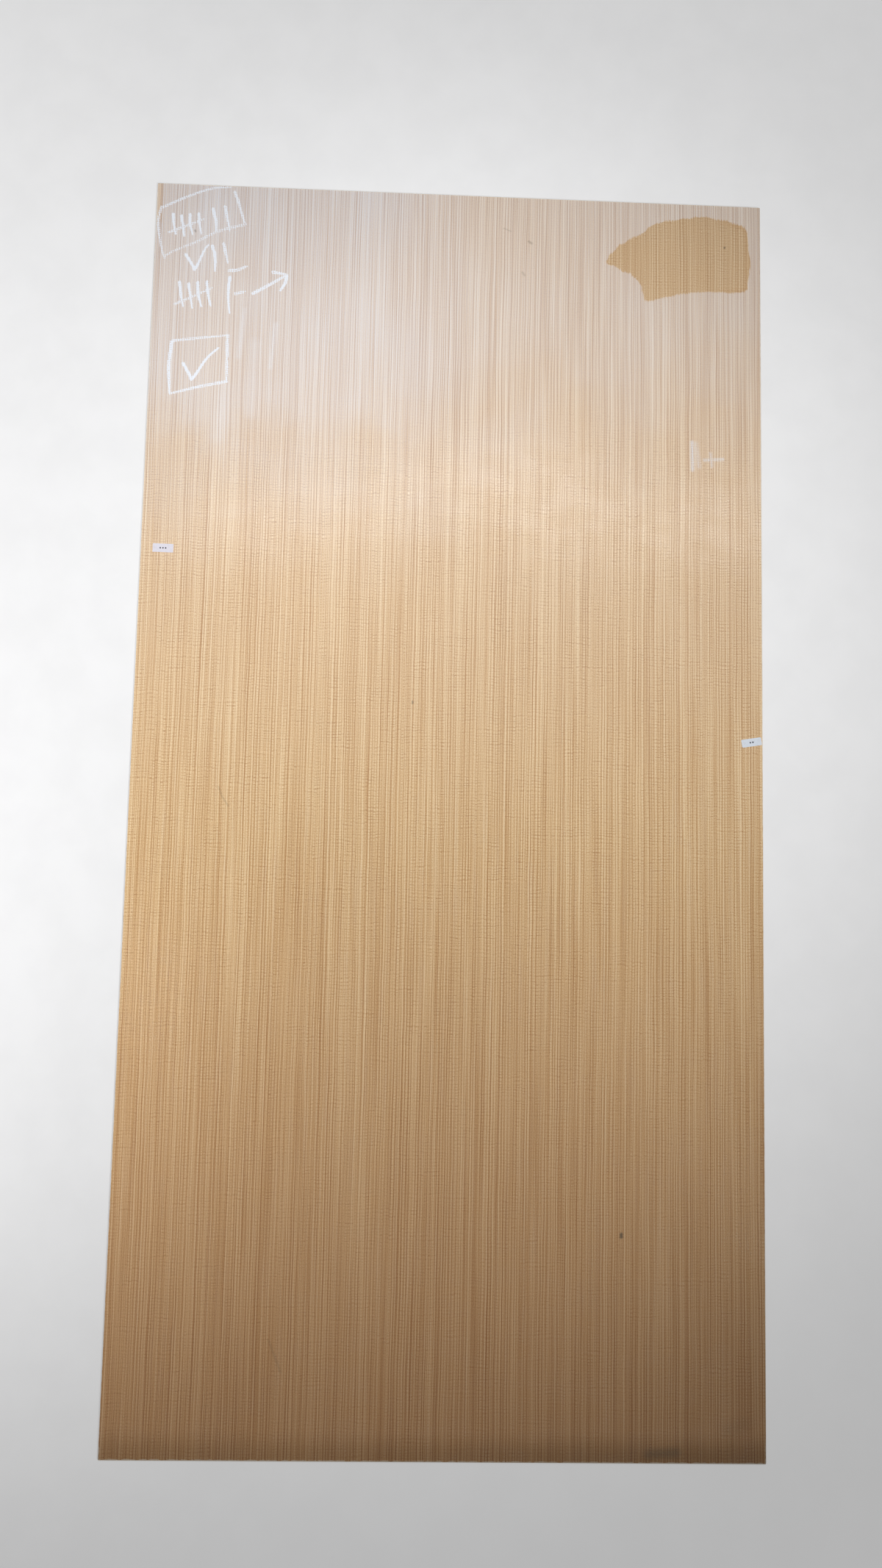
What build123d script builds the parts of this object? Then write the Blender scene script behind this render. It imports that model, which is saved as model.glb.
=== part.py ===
from build123d import *
import os

# A decorative veneered sheet, lying flat with its show face up. Sizes are in
# millimetres. The grain and the sheet's length run along Y, its width along X.
# The origin is the middle of the back face, so the sheet rises from Z = 0.

# The sheet: one board, sawn square and sanded
SHEET_LENGTH = 2440.0  # along the grain, eight feet
SHEET_WIDTH = 1220.0  # across the grain, four feet
SHEET_THICKNESS = 4.0
CORNER_RADIUS = 1.8  # seen from above, knocked off by handling
FACE_ARRIS = 0.25  # light easing where the show face meets the edges
BACK_ARRIS = 0.4  # deeper bevel that is sanded round the back

# The two paper labels stuck to the show face
PAPER_THICKNESS = 0.15

LEFT_LABEL_LENGTH = 40.0
LEFT_LABEL_HEIGHT = 17.0
LEFT_LABEL_CORNER = 1.0  # radius
LEFT_LABEL_FROM_LEFT = 43.0  # the label's centre, from the sheet's left edge
LEFT_LABEL_FROM_TOP = 749.0  # the label's centre, from the sheet's top end
LEFT_LABEL_TURN = -0.8  # degrees, anticlockwise seen from above

RIGHT_LABEL_LENGTH = 39.5
RIGHT_LABEL_HEIGHT = 15.5
RIGHT_LABEL_CORNER = 2.0
RIGHT_LABEL_FROM_RIGHT = 21.5  # its far end comes to just inside the edge
RIGHT_LABEL_FROM_TOP = 1101.0
RIGHT_LABEL_TURN = 9.5

# Places that follow from the sizes above
LEFT_EDGE = -SHEET_WIDTH / 2
RIGHT_EDGE = SHEET_WIDTH / 2
TOP_END = SHEET_LENGTH / 2
SHOW_FACE = SHEET_THICKNESS


def veneer_sheet():
    """The board: a rounded rectangle, bevelled at the back and eased at the face."""
    outline = RectangleRounded(SHEET_WIDTH, SHEET_LENGTH, CORNER_RADIUS)
    board = extrude(outline, SHEET_THICKNESS)
    face_rim = board.faces().sort_by(Axis.Z)[-1].edges()
    board = fillet(face_rim, FACE_ARRIS)
    back_rim = board.faces().sort_by(Axis.Z)[0].edges()
    return chamfer(back_rim, BACK_ARRIS)


def paper_label(length, height, corner, centre_x, centre_y, turn):
    """A slip of paper lying on the show face, turned about its own centre."""
    outline = RectangleRounded(length, height, corner)
    slip = extrude(outline, PAPER_THICKNESS)
    return Pos(centre_x, centre_y, SHOW_FACE) * Rot(0, 0, turn) * slip


def left_label():
    return paper_label(
        LEFT_LABEL_LENGTH,
        LEFT_LABEL_HEIGHT,
        LEFT_LABEL_CORNER,
        LEFT_EDGE + LEFT_LABEL_FROM_LEFT,
        TOP_END - LEFT_LABEL_FROM_TOP,
        LEFT_LABEL_TURN,
    )


def right_label():
    return paper_label(
        RIGHT_LABEL_LENGTH,
        RIGHT_LABEL_HEIGHT,
        RIGHT_LABEL_CORNER,
        RIGHT_EDGE - RIGHT_LABEL_FROM_RIGHT,
        TOP_END - RIGHT_LABEL_FROM_TOP,
        RIGHT_LABEL_TURN,
    )


def main():
    os.makedirs("parts", exist_ok=True)
    export_step(veneer_sheet(), "parts/veneer_sheet.step")
    export_step(left_label(), "parts/left_label.step")
    export_step(right_label(), "parts/right_label.step")


main()
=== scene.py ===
# %% [markdown]
# # A sheet of decorative wood veneer
#
# The object is a thin board, eight feet long and four feet wide, with a straight-grained
# show face, sawn edges and a plain back. It lies flat with its face up. Two small paper
# labels are stuck to the face, which also carries what a timber yard leaves on it: chalk
# marks, dust, a spot that was wiped wet, and a little dirt.
#
# The packed model gives the sizes, so it is loaded first. Everything is in metres and in
# the model's own frame: X across the sheet, Y along the grain to the top end, and Z up.

# %% Load the packed model
import math
from collections import Counter

import bpy
import numpy as np
from mathutils import Matrix, Vector


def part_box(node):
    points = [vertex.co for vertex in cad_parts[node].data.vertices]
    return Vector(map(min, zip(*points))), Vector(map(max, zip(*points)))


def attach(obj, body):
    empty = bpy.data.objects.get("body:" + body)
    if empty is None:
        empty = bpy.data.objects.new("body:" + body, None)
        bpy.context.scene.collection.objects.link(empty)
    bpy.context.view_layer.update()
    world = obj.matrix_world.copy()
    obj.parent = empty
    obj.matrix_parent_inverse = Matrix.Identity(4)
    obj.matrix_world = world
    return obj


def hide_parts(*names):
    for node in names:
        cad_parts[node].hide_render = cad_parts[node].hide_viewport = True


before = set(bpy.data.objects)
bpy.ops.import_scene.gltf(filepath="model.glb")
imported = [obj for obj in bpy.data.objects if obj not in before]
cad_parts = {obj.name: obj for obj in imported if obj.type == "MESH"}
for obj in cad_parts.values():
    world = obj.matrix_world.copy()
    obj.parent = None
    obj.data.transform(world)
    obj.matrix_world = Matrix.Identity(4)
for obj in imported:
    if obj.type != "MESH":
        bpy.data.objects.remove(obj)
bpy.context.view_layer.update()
sheet_low, sheet_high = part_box("veneer_sheet")
print("sheet, metres:", [round(v, 4) for v in sheet_high - sheet_low])

# %% [markdown]
# ## The camera
#
# A sheet is best seen from above. The camera hangs a little off the sheet's middle and
# leans six degrees towards the top end, so the near end looks wider than the far end.
#
# Blender wants a focal length in millimetres. Here it is known in pixels of the finished
# picture, whose long side takes up the whole sensor, so a rule of three gives millimetres.

# %% Place the camera
PICTURE_HEIGHT = 2133  # pixels, the long side
FOCAL_PIXELS = 1602
SENSOR = 36.0  # mm

CAMERA_PLACE = Vector((-0.0898, -0.1970, 2.2592))
CAMERA_FORWARD = Vector((0.0327, 0.0969, -0.9948))
CAMERA_UP = Vector((-0.0247, 0.9951, 0.0961))


def aimed(place, forward, up):
    """A matrix that stands at place and looks along forward, with up upwards."""
    back = -forward.normalized()
    right = up.cross(back).normalized()
    turn = Matrix((right, back.cross(right), back)).transposed()
    return Matrix.Translation(place) @ turn.to_4x4()


def put(name, data):
    """A new object in the scene."""
    made = bpy.data.objects.new(name, data)
    bpy.context.scene.collection.objects.link(made)
    return made


lens = bpy.data.cameras.new("overhead")
lens.sensor_width = SENSOR
lens.lens = SENSOR * FOCAL_PIXELS / PICTURE_HEIGHT
camera = put("overhead", lens)
camera.matrix_world = aimed(CAMERA_PLACE, CAMERA_FORWARD, CAMERA_UP)
bpy.context.scene.camera = camera
print("focal length, mm:", round(lens.lens, 2))

# %% [markdown]
# ## Where the marks lie
#
# A joiner measures marks with a rule laid from the left edge and from the top end. The
# numbers in these cells are such millimetres, and one function turns them into places in
# the model's frame.
#
# A mark drawn by hand needs a smooth line through few points. A Catmull-Rom curve passes
# through every point that it is given, which makes it easy to place.

# %% Measures on the face, and smooth lines through a few points
MM = 0.001
SHEET_WIDTH = (sheet_high.x - sheet_low.x) / MM
SHEET_LENGTH = (sheet_high.y - sheet_low.y) / MM
SHEET_THICKNESS = (sheet_high.z - sheet_low.z) / MM


def from_corner(points):
    """Model X and Y in mm of points measured from the left edge and the top end."""
    points = np.array(points, float)
    return np.stack([points[:, 0] - SHEET_WIDTH / 2, SHEET_LENGTH / 2 - points[:, 1]], 1)


def smooth_line(points, closed=False, pieces=6):
    """A Catmull-Rom curve through the points, with a few short pieces between each two."""
    points = np.array(points, float)
    if closed:
        points = np.concatenate([points[-1:], points, points[:2]])
    else:
        first, last = 2 * points[:1] - points[1:2], 2 * points[-1:] - points[-2:-1]
        points = np.concatenate([first, points, last])
    found = []
    for before, a, b, after in zip(points, points[1:], points[2:], points[3:]):
        for t in np.arange(pieces) / pieces:
            pull = (-t + 2 * t**2 - t**3) * before + (t**3 - t**2) * after
            mean = (2 - 5 * t**2 + 3 * t**3) * a + (t + 4 * t**2 - 3 * t**3) * b
            found.append((pull + mean) / 2)
    found.append(points[-2])
    return np.array(found)


def along_line(line, places):
    """For each place, its distance to a line and how far along it lies, from 0 to 1."""
    away, share = np.full(len(places), np.inf), np.zeros(len(places))
    lengths = np.hypot(*np.diff(line, axis=0).T)
    starts = np.concatenate([[0.0], np.cumsum(lengths)])
    for a, b, start, length in zip(line, line[1:], starts, lengths):
        t = np.clip((places - a) @ (b - a) / length**2, 0, 1)
        here = np.hypot(*(places - a - t[:, None] * (b - a)).T)
        nearer = here < away
        away[nearer] = here[nearer]
        share[nearer] = (start + t * length)[nearer] / starts[-1]
    return away, share


# %% [markdown]
# ## The wiped patch
#
# Near the top right corner someone has wiped the raw veneer with a wet cloth, to see what
# colour it takes under polish. Inside the patch the dust is gone and the wood is darker
# and warmer. Its outline has one long point to the left and square shoulders on the right.

# %% The outline of the wiped patch
PATCH_OUTLINE = smooth_line(
    from_corner(
        [
            (906, 127), (934, 92), (978, 64), (1004, 45), (1056, 31), (1108, 25),
            (1161, 35), (1191, 48), (1196, 84), (1198, 124), (1193, 176),
            (1160, 184), (1100, 184), (1040, 196), (1000, 208), (984, 203),
            (972, 168), (954, 152), (928, 141),
        ]
    ),
    closed=True,
    pieces=4,
)


def inside_by(outline, places):
    """How many mm each place lies inside a closed outline, negative outside it."""
    away = along_line(outline, places)[0]
    x, y = places.T
    inside = np.zeros(len(places), bool)
    for a, b in zip(outline, outline[1:]):
        if a[1] != b[1]:
            meets = a[0] + (y - a[1]) / (b[1] - a[1]) * (b[0] - a[0])
            inside ^= ((a[1] > y) != (b[1] > y)) & (x < meets)
    return np.where(inside, away, -away)


print("patch outline:", len(PATCH_OUTLINE), "points")

# %% [markdown]
# ## The chalk
#
# The yard keeps count in chalk. A stick of chalk skips over the grain: a stroke along it
# comes out solid, and a stroke across it breaks into short dashes. So each stroke has a
# width and a pressure, and the grain in the material decides which part of a light stroke
# takes.
#
# The marks are plain ones that say nothing: two boxes, tallies in fives, a tick, an arrow
# and some dashes.

# %% The chalk strokes: points, width in mm, and pressure from 0 to 1
UPRIGHT, CROSSING = 6.4, 5.2  # how wide a tally's strokes are
BEND, DROP = 1.5, 3.0  # how far they stray, so that no two are alike
CROSSING_PRESS = 0.62  # the last stroke is a light one


def tally(left, top, gap, tall, lean, press):
    """Four strokes and a fifth across them, as one counts in fives."""
    strokes = []
    for n in range(4):
        x, y = left + n * gap, top + DROP * math.sin(1.7 * n)
        bend = lean * 0.35 + BEND * math.sin(2.1 * n)
        line = [(x, y), (x + bend, y + tall * 0.5), (x + lean, y + tall)]
        strokes.append((line, UPRIGHT, press))
    line = [(left - gap * 0.4, top + tall * 0.92), (left + gap * 3.6, top + tall * 0.2)]
    strokes.append((line, CROSSING, press * CROSSING_PRESS))
    return strokes


FIRST_BOX = [
    ([(13, 50), (62, 25), (108, 7), (146, 2)], 5.6, 0.66),
    ([(154, 12), (163, 35), (170, 58), (177, 79)], 6.0, 0.70),
    ([(177, 80), (123, 97), (81, 121), (42, 139), (21, 152)], 6.0, 0.52),
    ([(9, 50), (4, 80), (8, 110), (13, 135), (20, 157)], 5.6, 0.62),
]
FIRST_BOX_COUNT = tally(33, 64, 17, 42, 7, 0.98) + [
    ([(112, 50), (118, 72), (120, 96)], 7.0, 0.9),
    ([(136, 44), (141, 68), (147, 94)], 6.4, 0.75),
]
SECOND_ROW = [
    ([(62, 148), (76, 170), (82, 177), (98, 138), (106, 126)], 6.4, 0.9),
    ([(114, 128), (120, 150), (121, 180)], 7.0, 0.9),
    ([(136, 122), (141, 142), (146, 162)], 6.4, 0.74),
    ([(150, 178), (166, 176), (183, 168)], 7.4, 0.66),
]
THIRD_ROW = tally(52, 206, 18, 50, 9, 0.92) + [
    ([(151, 192), (149, 228), (153, 266)], 6.6, 0.88),
    ([(163, 226), (182, 221)], 6.6, 0.62),
    ([(198, 224), (228, 206), (262, 184)], 7.2, 0.72),
    ([(236, 178), (252, 180), (264, 182)], 6.6, 0.7),
    ([(264, 184), (261, 200), (252, 216)], 7.2, 0.86),
]
SECOND_BOX = [
    ([(44, 328), (92, 321), (151, 313)], 5.6, 0.62),
    ([(151, 313), (152, 360), (153, 407)], 6.6, 0.68),
    ([(153, 408), (98, 421), (43, 437)], 6.6, 0.66),
    ([(42, 330), (38, 382), (42, 436)], 7.2, 0.78),
    ([(66, 374), (80, 398), (86, 404), (112, 362), (134, 340)], 6.6, 0.9),
]
CHALK = FIRST_BOX + FIRST_BOX_COUNT + SECOND_ROW + THIRD_ROW + SECOND_BOX
print("chalk strokes:", len(CHALK))

# %% [markdown]
# ## Rubbed chalk and dirt
#
# Sleeves and hands have wiped some chalk into soft pale smears, and an older mark near the
# right edge has been rubbed out. Elsewhere are a scuff, a pin knot, a few specks, and two
# brown smudges by the bottom end.
#
# Each is a short line with a reach: full strength on the line, and nothing at the end of
# its reach.

# %% Smears and dirt: two ends, reach in mm, and strength
SMEARS = [
    ((183, 258), (174, 356), 10, 0.30),
    ((246, 286), (238, 376), 8, 0.34),
    ((206, 330), (201, 470), 22, 0.22),
    ((110, 60), (104, 170), 74, 0.13),
    ((96, 190), (188, 236), 66, 0.11),
    ((150, 420), (138, 520), 26, 0.16),
    ((1081, 500), (1082, 556), 7, 0.64),
    ((1088, 504), (1094, 548), 10, 0.32),
    ((1106, 536), (1143, 533), 6, 0.5),
    ((1118, 522), (1121, 548), 6, 0.4),
]
DIRT = [
    ((300, 2229), (324, 2285), 5, 0.34),
    ((949, 2033), (949, 2038), 6, 0.95),
    ((1003, 2424), (1052, 2421), 22, 0.5),
    ((1150, 2380), (1182, 2371), 34, 0.26),
    ((1147, 88), (1147, 90), 3.5, 0.9),
    ((536, 1038), (536, 1042), 3.5, 0.8),
    ((169, 1213), (176, 1231), 3, 0.5),
    ((176, 1231), (189, 1250), 3, 0.5),
    ((697, 66), (712, 72), 3, 0.42),
    ((748, 92), (754, 96), 5, 0.5),
    ((736, 158), (741, 164), 5, 0.4),
    ((78, 96), (79, 99), 3.5, 0.7),
]


def soft_mark(marks, places):
    """The strongest of some soft marks at each place, from 0 to 1."""
    found = np.zeros(len(places))
    for start, end, reach, strength in marks:
        away = along_line(from_corner([start, end]), places)[0]
        fade = np.clip(1 - away / reach, 0, 1)
        found = np.maximum(found, strength * fade * fade * (3 - 2 * fade))
    return found


# %% [markdown]
# ## Tiling the face
#
# The whole board is one closed mesh. Its face is flat, but the marks are stored in its
# points, and a chalk line is only six millimetres wide. Such a fine mesh all over would be
# far too heavy.
#
# So the face is tiled with 20 mm squares, and a square that a mark crosses is split into
# 2 mm ones. A plain square beside a split one takes that side's small points into its own
# outline. Then every edge is shared by two faces, and there are no T-shaped joints.

# %% Which tiles does a mark cross?
TILE = 20.0
SPLIT = 10
columns, rows = round(SHEET_WIDTH / TILE), round(SHEET_LENGTH / TILE)
tile_x = ((np.arange(columns) + 0.5) / columns - 0.5) * SHEET_WIDTH
tile_y = ((np.arange(rows) + 0.5) / rows - 0.5) * SHEET_LENGTH
middles = np.stack(np.meshgrid(tile_x, tile_y, indexing="ij"), -1).reshape(-1, 2)

REACH = TILE * math.sqrt(0.5)  # from a tile's middle to its corner
ROOM = 4.0  # round a mark, so that its soft rim lies on small tiles too
WIDEST = 30.0  # a smear that is wider than this is soft enough for plain tiles outside
crossed = along_line(PATCH_OUTLINE, middles)[0] < REACH + ROOM
for points, width, _ in CHALK:
    crossed |= along_line(smooth_line(from_corner(points)), middles)[0] < REACH + ROOM + width / 2
for start, end, reach, _ in SMEARS + DIRT:
    crossed |= along_line(from_corner([start, end]), middles)[0] < REACH + min(reach, WIDEST)
crossed = crossed.reshape(columns, rows)
print("tiles:", crossed.size, "of them split:", int(crossed.sum()))

# %% [markdown]
# ## Round the edge
#
# A sheet has no sharp edges. The face is eased with a touch of sandpaper, the back has a
# deeper bevel, and the corners are knocked round. These catch the light along the outline.
#
# The outline of the face goes down the edge as a row of rings. Each ring lies in from the
# side by its inset, and up from the floor by its height.

# %% Sizes of the edge, as they are in the model
CORNER_RADIUS = 1.8
FACE_ARRIS = 0.25
BACK_ARRIS = 0.4
ARC_PIECES = 4
ARRIS_PIECES = 3

HALF = np.array([SHEET_WIDTH, SHEET_LENGTH]) / 2


def rings():
    """(inset, height) in mm from the face's own outline down to the back's."""
    found = []
    for n in range(ARRIS_PIECES + 1):
        turn = math.pi / 2 * n / ARRIS_PIECES
        inset = FACE_ARRIS * (1 - math.sin(turn))
        found.append((inset, SHEET_THICKNESS - FACE_ARRIS * (1 - math.cos(turn))))
    found.append((0.0, BACK_ARRIS))
    found.append((BACK_ARRIS, 0.0))
    return found


def corner_arc(corner, inset):
    """Points round one corner, anticlockwise. Corner 0 is the near left one."""
    side = np.array([(-1, -1), (1, -1), (1, 1), (-1, 1)][corner])
    turns = np.pi * (1 + corner / 2) + np.linspace(0, np.pi / 2, ARC_PIECES + 1)
    centre = side * (HALF - CORNER_RADIUS)
    return centre + (CORNER_RADIUS - inset) * np.stack([np.cos(turns), np.sin(turns)], 1)


# %% Points and faces of one tiled side
def tiled(split, used, inset):
    """Points, faces and the outline of a tiled rectangle, anticlockwise from the near left.

    split says which tiles are cut small, and used which points of the fine lattice exist."""
    last = np.array(used.shape) - 1
    number = np.full(used.shape, -1)
    corners = [(0, 0), (last[0], 0), (last[0], last[1]), (0, last[1])]
    inner = used.copy()
    for i, j in corners:
        inner[i, j] = False
    number[inner] = np.arange(inner.sum())
    places = np.argwhere(inner) / last * 2 * HALF - HALF
    places = np.clip(places, inset - HALF, HALF - inset)
    arcs = [corner_arc(n, inset) for n in range(4)]
    arc_numbers = {}
    for n, corner in enumerate(corners):
        first = len(places)
        places = np.concatenate([places, arcs[n]])
        arc_numbers[corner] = list(range(first, first + len(arcs[n])))

    def side(i, j, step_i, step_j, count):
        """Numbers of the points from one corner of a tile up to the next one."""
        found = []
        for n in range(count):
            at = (i + n * step_i, j + n * step_j)
            if at in arc_numbers:
                found += arc_numbers[at]
            elif number[at] >= 0:
                found.append(int(number[at]))
        return found

    def around(i, j, wide, tall):
        return (
            side(i, j, 1, 0, wide)
            + side(i + wide, j, 0, 1, tall)
            + side(i + wide, j + tall, -1, 0, wide)
            + side(i, j + tall, 0, -1, tall)
        )

    faces = []
    for (column, row), small in np.ndenumerate(split):
        i, j = column * SPLIT, row * SPLIT
        if small:
            for a in range(i, i + SPLIT):
                faces += [around(a, b, 1, 1) for b in range(j, j + SPLIT)]
        else:
            faces.append(around(i, j, SPLIT, SPLIT))
    return places, faces, around(0, 0, *last)


lattice = np.zeros((columns * SPLIT + 1, rows * SPLIT + 1), bool)
lattice[::SPLIT, ::SPLIT] = True
for column, row in np.argwhere(crossed):
    i, j = column * SPLIT, row * SPLIT
    lattice[i : i + SPLIT + 1, j : j + SPLIT + 1] = True
plain = np.zeros_like(lattice)
plain[::SPLIT, ::SPLIT] = True
plain[[0, -1], :] |= lattice[[0, -1], :]
plain[:, [0, -1]] |= lattice[:, [0, -1]]

face_places, face_tiles, face_outline = tiled(crossed, lattice, FACE_ARRIS)
back_places, back_tiles, back_outline = tiled(np.zeros_like(crossed), plain, BACK_ARRIS)
print("face tiles:", len(face_tiles), "back tiles:", len(back_tiles))
print("points round the edge:", len(face_outline), len(back_outline))

# %% [markdown]
# ## One closed board
#
# Now the face, the rings of its edge and the back come together. Each face of the mesh
# also gets its place on a flat map, the way a pattern is laid out on paper. The show face
# takes most of the map, because its grain is the finest detail. The back takes a strip
# beside it, and the four edges take narrow lanes on the right.

# %% Lay out the flat map
MAP_MARGIN = 0.004
FACE_STRIP = (0.0, 0.72)
BACK_STRIP = (0.73, 0.965)
EDGE_STRIP = (0.968, 1.0)
LANE = (EDGE_STRIP[1] - EDGE_STRIP[0]) / 4
LANE_GAP = 0.1  # of a lane, left free on each side of it


def on_strip(strip, places):
    """Flat map coordinates of places on the face or the back."""
    low, high = strip[0] + MAP_MARGIN, strip[1] - MAP_MARGIN
    u = low + (places[:, 0] / SHEET_WIDTH + 0.5) * (high - low)
    v = MAP_MARGIN + (places[:, 1] / SHEET_LENGTH + 0.5) * (1 - 2 * MAP_MARGIN)
    return np.stack([u, v], 1)


def edge_lanes(outline):
    """For each step round the outline: which of the four edges it is on, its start and end."""
    following = np.roll(outline, -1, 0)
    middle = (outline + following) / 2
    lengths = np.hypot(*(following - outline).T)
    beyond = np.abs(middle) - (HALF - CORNER_RADIUS)
    side = np.where(middle[:, 0] > 0, 1, 3)
    end = np.where(middle[:, 1] > 0, 2, 0)
    edge = np.where(beyond[:, 0] > beyond[:, 1], side, end)
    start = np.zeros(len(edge))
    for n in range(4):
        start[edge == n] = np.cumsum(lengths[edge == n]) - lengths[edge == n]
    to_map = (1 - 3 * MAP_MARGIN) / SHEET_LENGTH
    return edge, MAP_MARGIN + start * to_map, MAP_MARGIN + (start + lengths) * to_map


def grown(outline, by):
    """The outline moved outwards by some mm, straight along the sides and round the corners."""
    out = outline - np.clip(outline, CORNER_RADIUS - HALF, HALF - CORNER_RADIUS)
    return outline + out / np.hypot(*out.T)[:, None] * by


# %% Put the board together
FACE_SLOT, EDGE_SLOT, BACK_SLOT = range(3)


def board(name):
    """The whole sheet as one mesh, with its flat map and three material slots."""
    levels = np.array(rings())
    depth = np.concatenate([[0.0], np.cumsum(np.hypot(*np.diff(levels, axis=0).T))])
    depth = LANE_GAP + (1 - 2 * LANE_GAP) * depth / depth[-1]
    points = [np.column_stack([face_places, np.full(len(face_places), SHEET_THICKNESS)])]
    face_map, back_map = on_strip(FACE_STRIP, face_places), on_strip(BACK_STRIP, back_places)
    faces = list(face_tiles)
    maps = [face_map[tile] for tile in face_tiles]
    slots = [FACE_SLOT] * len(faces)

    outline = face_places[face_outline]
    count = len(outline)
    edge, v_start, v_end = edge_lanes(outline)
    upper, total = np.array(face_outline), len(face_places)
    for n, (inset, height) in enumerate(levels[1:], start=1):
        if n < len(levels) - 1:
            ring = grown(outline, FACE_ARRIS - inset)
            points.append(np.column_stack([ring, np.full(count, height)]))
            lower = np.arange(total, total + count)
            total += count
        else:
            lower = total + np.array(back_outline)
        u_upper = EDGE_STRIP[0] + LANE * (edge + depth[n - 1])
        u_lower = EDGE_STRIP[0] + LANE * (edge + depth[n])
        for a in range(count):
            b = (a + 1) % count
            faces.append([upper[a], lower[a], lower[b], upper[b]])
            corners = [(u_upper[a], v_start[a]), (u_lower[a], v_start[a])]
            corners += [(u_lower[a], v_end[a]), (u_upper[a], v_end[a])]
            maps.append(np.array(corners))
            slots.append(EDGE_SLOT)
        upper = lower

    points.append(np.column_stack([back_places, np.zeros(len(back_places))]))
    for tile in back_tiles:
        faces.append([total + n for n in reversed(tile)])
        maps.append(back_map[tile[::-1]])
        slots.append(BACK_SLOT)

    points = np.concatenate(points)
    mesh = bpy.data.meshes.new(name)
    mesh.from_pydata((points * MM).tolist(), [], [[int(n) for n in face] for face in faces])
    flat_map = mesh.uv_layers.new(name="OFBake")
    flat_map.data.foreach_set("uv", np.concatenate(maps).ravel())
    mesh.polygons.foreach_set("material_index", slots)
    mesh.update()
    return mesh, points


sheet_mesh, sheet_points = board("veneer_sheet_dressed")
triangles = sum(len(face.vertices) - 2 for face in sheet_mesh.polygons)
print("sheet points:", len(sheet_points), "triangles:", triangles)

# %% [markdown]
# ## Write the marks into the mesh
#
# A mesh attribute is a number at each point, which the material can read by name. A
# distance works better than a ready colour: the material can then decide how sharp the rim
# is, and let the grain break it up, finer than the mesh itself.

# %% Distances and strengths at each point
CHALK_TAPER = 0.35  # how much thinner a stroke ends than it starts
FAR_OUT = -6.0  # mm, more than far enough from a stroke
PATCH_FAR_OUT = -30.0  # and from the patch, whose rim is ragged


def mark(name, values):
    """Store one number per point under a name."""
    layer = sheet_mesh.attributes.new(name, "FLOAT", "POINT")
    layer.data.foreach_set("value", np.asarray(values, np.float32))
    print(f"{name}: {values.min():.2f} to {values.max():.2f}")


def drawn_chalk(places):
    """How deep each place lies inside a stroke, in mm, and how hard that stroke was pressed."""
    depth, press = np.full(len(places), FAR_OUT), np.zeros(len(places))
    for points, width, pressed in CHALK:
        away, share = along_line(smooth_line(from_corner(points)), places)
        here = width / 2 * (1 - CHALK_TAPER * share**2) - away
        deeper = here > depth
        depth[deeper], press[deeper] = here[deeper], pressed
    return depth, press


flat_places = sheet_points[:, :2]
chalk_depth, chalk_press = drawn_chalk(flat_places)
mark("patch_in", np.maximum(inside_by(PATCH_OUTLINE, flat_places), PATCH_FAR_OUT))
mark("chalk_in", chalk_depth)
mark("chalk_press", chalk_press)
mark("rubbed", soft_mark(SMEARS, flat_places))
mark("dirt", soft_mark(DIRT, flat_places))

# %% [markdown]
# ## In place of the plain solid
#
# The packed model already has a plain solid for the sheet. The board made here takes its
# place and rides on the same body, so it goes wherever the model goes. Its slot has a name
# too, by which a later user can find this surface and give it another wood.
#
# Only the edge is shaded smooth, since its arrises are round. A closed mesh has two faces
# at every edge, and that is easy to count.

# %% Put the sheet in the scene
sheet = put("sheet_with_face", sheet_mesh)
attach(sheet, "root")
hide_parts("veneer_sheet")
rounded = [face.material_index == EDGE_SLOT for face in sheet_mesh.polygons]
sheet_mesh.polygons.foreach_set("use_smooth", rounded)
edges = Counter(edge for face in sheet_mesh.polygons for edge in face.edge_keys)
print("closed:", set(edges.values()) == {2})

# %% [markdown]
# ## Drawing nodes with short words
#
# A material in Blender is a drawing of nodes joined by lines. Written out in full, each
# node takes several lines of code, and the idea gets lost among them. Two small classes
# help. A Value is one output of a node, and can be added or multiplied as a number can:
# every such sign makes a Math node. Its word rise makes a smooth step, which is how most
# masks begin. A Drawing has a short word for each other kind of node. Then a formula reads
# nearly as it would on paper.

# %% An output that counts like a number
class Value:
    """One output of a node in a drawing."""

    def __init__(self, draw, socket):
        self.draw = draw
        self.socket = socket

    def math(self, how, *others):
        """A Math node whose first value is this one."""
        return self.draw.get("Math", self, *others, operation=how)

    def __add__(self, other):
        return self.math("ADD", other)

    def __sub__(self, other):
        return self.math("SUBTRACT", other)

    def __rsub__(self, other):
        return self.draw.get("Math", other, self, operation="SUBTRACT")

    def __mul__(self, other):
        return self.math("MULTIPLY", other)

    def __truediv__(self, other):
        return self.math("DIVIDE", other)

    def __rtruediv__(self, other):
        return self.draw.get("Math", other, self, operation="DIVIDE")

    def __abs__(self):
        return self.math("ABSOLUTE")

    __radd__ = __add__
    __rmul__ = __mul__

    def at_least(self, other):
        """The greater of two."""
        return self.math("MAXIMUM", other)

    def at_most(self, other):
        """The lesser of two."""
        return self.math("MINIMUM", other)

    def swing(self, size):
        """A value from 0 to 1 turned into one from -size to size."""
        return self.math("MULTIPLY_ADD", 2 * size, -size)

    def rise(self, low, high, bottom=0.0, top=1.0):
        """A smooth step from bottom to top while the value goes from low to high."""
        values = (self, low, high, bottom, top)
        return self.draw.get("MapRange", *values, interpolation_type="SMOOTHSTEP")

    def part(self, low, high):
        """How far the value is from low to high, from 0 to 1, without easing."""
        return self.draw.get("MapRange", self, low, high)


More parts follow.
